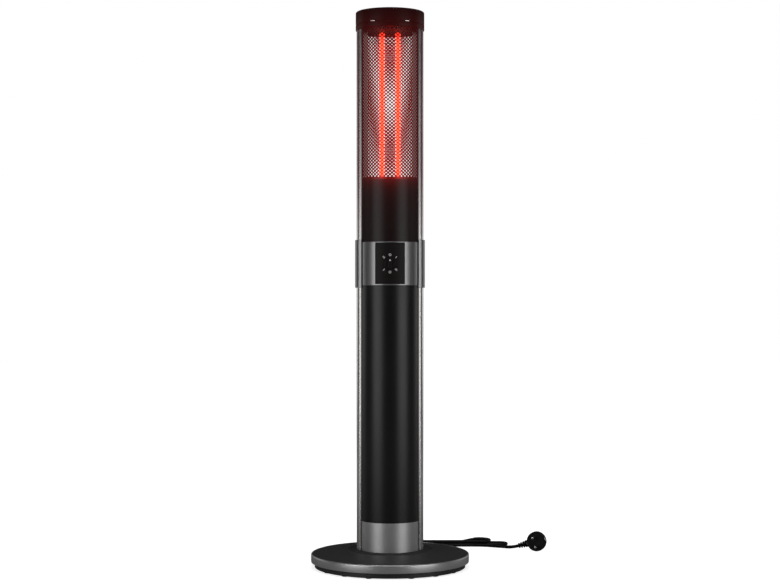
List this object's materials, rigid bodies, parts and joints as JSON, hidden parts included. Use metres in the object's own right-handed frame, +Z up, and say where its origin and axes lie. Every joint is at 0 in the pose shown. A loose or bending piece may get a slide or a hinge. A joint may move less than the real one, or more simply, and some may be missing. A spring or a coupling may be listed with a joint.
{
  "type": "infrared patio heater tower",
  "caption": "Free-standing infrared heater tower: round weighted base, column of post profiles and curved covers, control collar with rotary switch, see-through lamp head, cap, cord and plug.",
  "frame": {"origin": "on the floor under the middle of the round base", "axes": "+Z up along the column, -Y out of the front with the control knob, +X to the right seen from the front"},
  "size_m": [0.4664, 0.4452, 1.055],
  "materials": {
    "black_plastic": "black moulded plastic, matt",
    "rubber": "black moulded rubber, matt",
    "cast_iron": "grey cast iron, rough",
    "silver_paint": "silver-grey powder coat, satin",
    "black_paint": "black powder coat, satin",
    "steel": "zinc-plated steel screws",
    "zinc_steel": "zinc-plated sheet steel",
    "red_plastic": "red moulded plastic",
    "ivory_plastic": "ivory moulded plastic",
    "cord_rubber": "black rubber cord sheath",
    "gloss_black": "black plastic, glossy",
    "white_ceramic": "white steatite ceramic",
    "nickel": "nickel-plated brass",
    "anodised": "titanium-grey anodised extrusion",
    "aluminium": "plain aluminium bar",
    "quartz": "clear quartz, tinted by the glow",
    "lamp_glow": "carbon element glowing orange-red"
  },
  "bodies": {
    "heater": {"base_feet": "rubber", "base_rim": "silver_paint", "base_top": "black_paint", "base_tray": "black_plastic", "base_weight": "cast_iron", "bulkhead_lower": "zinc_steel", "bulkhead_middle": "zinc_steel", "bulkhead_upper": "zinc_steel", "cap_frame": "zinc_steel", "cap_screws": "steel", "collar_core": "black_plastic", "collar_front": "silver_paint", "collar_rear": "silver_paint", "collar_screws": "steel", "collar_sleeve_left": "silver_paint", "collar_sleeve_right": "silver_paint", "column_bolts": "steel", "column_foot": "zinc_steel", "control_fascia": "gloss_black", "cord_gland": "rubber", "cord_hank": "cord_rubber", "cord_lead": "cord_rubber", "cord_tail": "cord_rubber", "foot_band_front": "silver_paint", "foot_band_rear": "silver_paint", "guard_front": "black_paint", "guard_rear": "black_paint", "lamp_element_left": "lamp_glow", "lamp_element_right": "lamp_glow", "lamp_ends": "white_ceramic", "lamp_plate_lower": "zinc_steel", "lamp_plate_upper": "zinc_steel", "lamp_tube_left": "quartz", "lamp_tube_right": "quartz", "lower_cover_front": "black_paint", "lower_cover_rear": "black_paint", "lower_post_left": "anodised", "lower_post_right": "anodised", "plug_body": "rubber", "plug_earth_clips": "nickel", "plug_pins": "nickel", "plug_relief": "rubber", "post_joiner_left": "aluminium", "post_joiner_right": "aluminium", "post_screws": "steel", "rotary_switch": "black_plastic", "switch_nut": "steel", "terminal_block": "ivory_plastic", "thermal_cutout": "black_plastic", "tip_switch_body": "black_plastic", "tip_switch_spring": "steel", "top_cap": "black_paint", "tray_screws": "steel", "upper_post_left": "anodised", "upper_post_right": "anodised", "wiring_harness": "cord_rubber"},
    "control_knob": {"knob": "gloss_black", "switch_shaft": "steel"},
    "tip_plunger": {"tip_switch_plunger": "red_plastic"}
  },
  "joints": [
    {"name": "knob_turn", "type": "hinge", "parent": "heater", "child": "control_knob", "pos_m": [0, -0.0605, 0.5756], "axis": [0, 1, 0], "continuous": true},
    {"name": "plunger_slide", "type": "slide", "parent": "heater", "child": "tip_plunger", "axis": [0, 0, 1], "range_m": [-0.004, 0], "stiffness_N_per_m": 150, "springref_m": -0.012, "deforming": ["tip_switch_spring"]}
  ]
}
